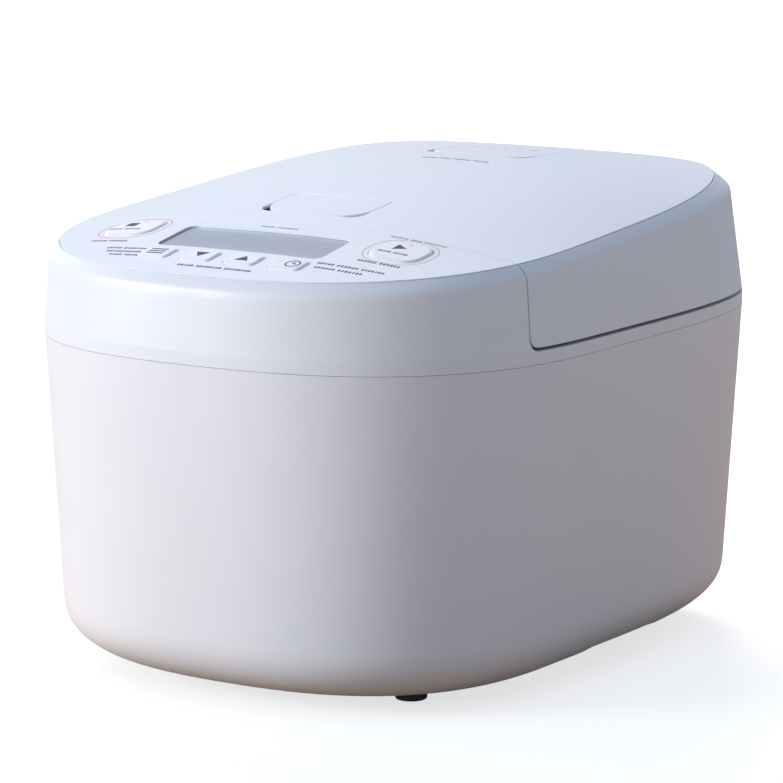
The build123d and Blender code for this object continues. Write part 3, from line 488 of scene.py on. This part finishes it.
def triangle(x, y, width, height, turn):
    """A printed triangle's outline, its point turned from straight back."""
    corners = [(-width / 2, -height / 2), (width / 2, -height / 2), (0.0, height / 2)]
    c, s = math.cos(turn), math.sin(turn)
    return polygon(x, y, [(c * a - s * b, s * a + c * b) for a, b in corners])


def print_menu(mesh, surface, x, y):
    for row in (-2.6, 0.0, 2.6):
        bar(mesh, surface, x, y + row, 10.0, 1.2)


def print_down(mesh, surface, x, y):
    ink_patch(mesh, surface, triangle(x, y, 7.6, 5.6, math.pi))


def print_up(mesh, surface, x, y):
    ink_patch(mesh, surface, triangle(x, y, 7.6, 5.6, 0.0))


def print_timer(mesh, surface, x, y):
    x += 2.6
    steps = [2 * math.pi * k / 40 for k in range(40)]
    loops = [[(x + r * math.cos(a), y + r * math.sin(a)) for a in steps] for r in (4.0, 3.2)]
    ink_band(mesh, surface, *loops)
    bar(mesh, surface, x + 0.9, y, 2.6, 0.7)
    hand = [(-0.35, -1.45), (0.35, -1.45), (0.35, 1.2), (-0.35, 1.2)]
    ink_patch(mesh, surface, polygon(x, y + 1.1, hand))


def print_start(mesh, surface, x, y):
    ink_patch(mesh, surface, triangle(x - 2.0, y + 3.4, 7.0, 6.4, -math.pi / 2))
    caption(mesh, surface, x - 2.0, y - 4.2, (7.5, 8.0), KEY_CAPTION)


def print_cancel(mesh, surface, x, y):
    square = [(3.0 * sx, 2.8 * sy) for sx, sy in ((-1, -1), (1, -1), (1, 1), (-1, 1))]
    ink_patch(mesh, surface, polygon(x - 4.0, y + 3.4, square))
    caption(mesh, surface, x - 4.0, y - 4.2, (9.0, 9.5), KEY_CAPTION)


def make_prints(materials):
    """Rings, rows and key symbols, each on the body that it is printed on."""
    print_ring("print_ring_start", BIG_KEY_X, BIG_KEY_Y, materials["ink_orange"])
    print_ring("print_ring_cancel", -BIG_KEY_X, BIG_KEY_Y, materials["ink_pink"])
    panel = Surface("control_panel")
    mesh = bmesh.new()
    print_rows(mesh, panel, ROWS, CAPTION)
    print_rows(mesh, panel, FINE_ROWS, FINE_CAPTION)
    finish_piece(mesh, "print_captions", "casing", materials["ink_grey"])
    mesh = bmesh.new()
    print_rows(mesh, Surface("lid_top_plate"), VENT_ROWS, CAPTION)
    finish_piece(mesh, "print_vent_caption", "lid", materials["ink_grey"])
    for key, symbol in (
        ("menu", print_menu),
        ("down", print_down),
        ("up", print_up),
        ("timer", print_timer),
        ("start", print_start),
        ("cancel", print_cancel),
    ):
        node = key + "_button"
        low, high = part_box(node)
        mesh = bmesh.new()
        symbol(mesh, Surface(node), (low[0] + high[0]) / 2 / MM, (low[1] + high[1]) / 2 / MM)
        finish_piece(mesh, "print_" + key, key + "_key", materials["ink_grey"])


# ---------------------------------------------------------------- lid openings
OPENING_LIPS = (  # name, width, front, rear, front and rear corner radius, and the lip's width, in mm
    ("button_opening_lip", 60.2, -76.6, -42.4, (8.0, 4.0), 0.42),
    ("vent_opening_lip", 62.0, 77.0, 121.0, (6.0, 8.0), 0.34),
)
LIP_TOP = -0.05  # mm from the plate's surface
LIP_BOTTOM = -1.2
LIP_TAPER = 15.0  # mm over which a lip grows from the front edge
LIP_OVERLAP = 0.01  # mm that a lip reaches into the plate's edge
LIP_SAMPLES = (1.2, 2.4)  # mm outside the opening, where the plate's height is measured


def opening_outline(width, front, rear, corners, steps=10, sides=12):
    """Plan points round an opening, each with the direction that points away from its middle."""
    near, far = corners
    half = width / 2
    centers = (
        (half - far, rear - far, far),
        (far - half, rear - far, far),
        (near - half, front + near, near),
        (half - near, front + near, near),
    )
    points = []
    for corner, (cx, cy, radius) in enumerate(centers):
        for step in range(steps + 1):
            angle = math.pi / 2 * (corner + step / steps)
            nx, ny = math.cos(angle), math.sin(angle)
            points.append((cx + radius * nx, cy + radius * ny, nx, ny))
        ax, ay, nx, ny = points[-1]
        cx, cy, radius = centers[(corner + 1) % 4]
        bx, by = cx + radius * nx, cy + radius * ny
        for step in range(1, sides):
            points.append((ax + (bx - ax) * step / sides, ay + (by - ay) * step / sides, nx, ny))
    return points


def make_lip(surface, name, width, front, rear, corners, lip, material):
    """A thin lip that narrows the gap along an opening's sides and rear."""
    mesh = bmesh.new()
    rings = [[], [], [], []]
    for x, y, nx, ny in opening_outline(width, front, rear, corners):
        near, far = (surface.point(x + nx * reach, y + ny * reach, 0.0).z for reach in LIP_SAMPLES)
        rim = 2 * near - far
        inset = lip * min(1.0, max(0.2, (y - front) / LIP_TAPER))
        places = (
            (-LIP_OVERLAP, LIP_TOP),
            (inset, LIP_TOP - 0.04),
            (inset, LIP_BOTTOM),
            (-LIP_OVERLAP, LIP_BOTTOM),
        )
        for ring, (reach, rise) in zip(rings, places):
            px, py = x - nx * reach, y - ny * reach
            ring.append(mesh.verts.new((px * MM, py * MM, rim + rise * MM)))
    for one, other in zip(rings, rings[1:] + rings[:1]):
        bridge(mesh, one, other)
    finish_piece(mesh, name, "lid", material)


def make_lips(materials):
    surface = Surface("lid_top_plate")
    for name, width, front, rear, corners, lip in OPENING_LIPS:
        make_lip(surface, name, width, front, rear, corners, lip, materials["plate_white"])


# ---------------------------------------------------------------- stage
FLOOR_HALF = 14.0
FLOOR_GLOW = 0.70
WARM_HALF = 1.2
WARM_COLOR = (0.46, 0.30, 0.20)
KEY_LIGHT = {  # metres and watts
    "place": (-2.60, -2.765, 1.0),
    "target": (0, 0, 0.12),
    "size": (1.7, 1.5),
    "power": 120.0,
    "color": (0.965, 0.99, 1.03),
}
BACK_LIGHT = {
    "place": (-2.6, 2.7, 2.92),
    "target": (0, 0, 0.2),
    "size": (2.8, 1.8),
    "power": 234.0,
    "color": (1.0, 0.93, 0.87),
    "mirrored": False,
}
SKY_STOPS = ((0.0, (0.40, 0.47, 0.58)), (0.15, (0.33, 0.395, 0.50)), (1.0, (0.34, 0.42, 0.54)))


def plane(name, half, z):
    data = bpy.data.meshes.new(name)
    mesh = bmesh.new()
    bmesh.ops.create_grid(mesh, x_segments=8, y_segments=8, size=half)
    mesh.to_mesh(data)
    mesh.free()
    piece = bpy.data.objects.new(name, data)
    piece.location.z = z
    bpy.context.scene.collection.objects.link(piece)
    return piece


def make_floor():
    """A white floor that the camera sees, over a darker warm one that lights the object's sides."""
    floor = plane("floor", FLOOR_HALF, 0.0)
    material, tree, shader = base_material("floor_paper", (0.5, 0.5, 0.5), 0.9)
    shader.inputs["Specular IOR Level"].default_value = 0.0
    vary_roughness(tree, shader, noise(tree, position(tree), 3.0), 0.85, 0.95)
    shader.inputs["Emission Color"].default_value = (1.0, 1.0, 1.0, 1.0)
    shader.inputs["Emission Strength"].default_value = FLOOR_GLOW
    floor.data.materials.append(material)
    floor.visible_diffuse = False
    floor.visible_glossy = False
    floor.visible_shadow = False
    under = plane("floor_under", WARM_HALF, -0.0004)
    warm, tree, shader = base_material("floor_warm", WARM_COLOR, 1.0)
    shader.inputs["Specular IOR Level"].default_value = 0.0
    under.data.materials.append(warm)
    under.visible_camera = False
    under.visible_shadow = False


def area_light(name, place, target, size, power, color, mirrored=True):
    data = bpy.data.lights.new(name, "AREA")
    data.shape = "RECTANGLE"
    data.size, data.size_y = size
    data.energy = power
    data.color = color
    lamp = bpy.data.objects.new(name, data)
    lamp.location = place
    lamp.rotation_euler = (Vector(target) - Vector(place)).to_track_quat("-Z", "Y").to_euler()
    lamp.visible_glossy = mirrored
    bpy.context.scene.collection.objects.link(lamp)


def make_lights():
    """A broad low key from the front left, a higher light from the rear left, and a dim cool sky."""
    area_light("key_left", **KEY_LIGHT)
    area_light("back_left", **BACK_LIGHT)
    world = bpy.data.worlds.new("studio")
    world.use_nodes = True
    tree = world.node_tree
    background = tree.nodes["Background"]
    background.inputs["Strength"].default_value = 1.0
    coordinates = tree.nodes.new("ShaderNodeTexCoord")
    split = tree.nodes.new("ShaderNodeSeparateXYZ")
    tree.links.new(coordinates.outputs["Generated"], split.inputs["Vector"])
    tree.links.new(ramp(tree, split.outputs["Z"], SKY_STOPS), background.inputs["Color"])
    bpy.context.scene.world = world


bpy.context.scene.view_settings.view_transform = "Standard"
bpy.context.scene.view_settings.look = "None"
materials = make_materials()
dress_nodes(materials)
make_prints(materials)
make_lips(materials)
make_camera()
make_floor()
make_lights()
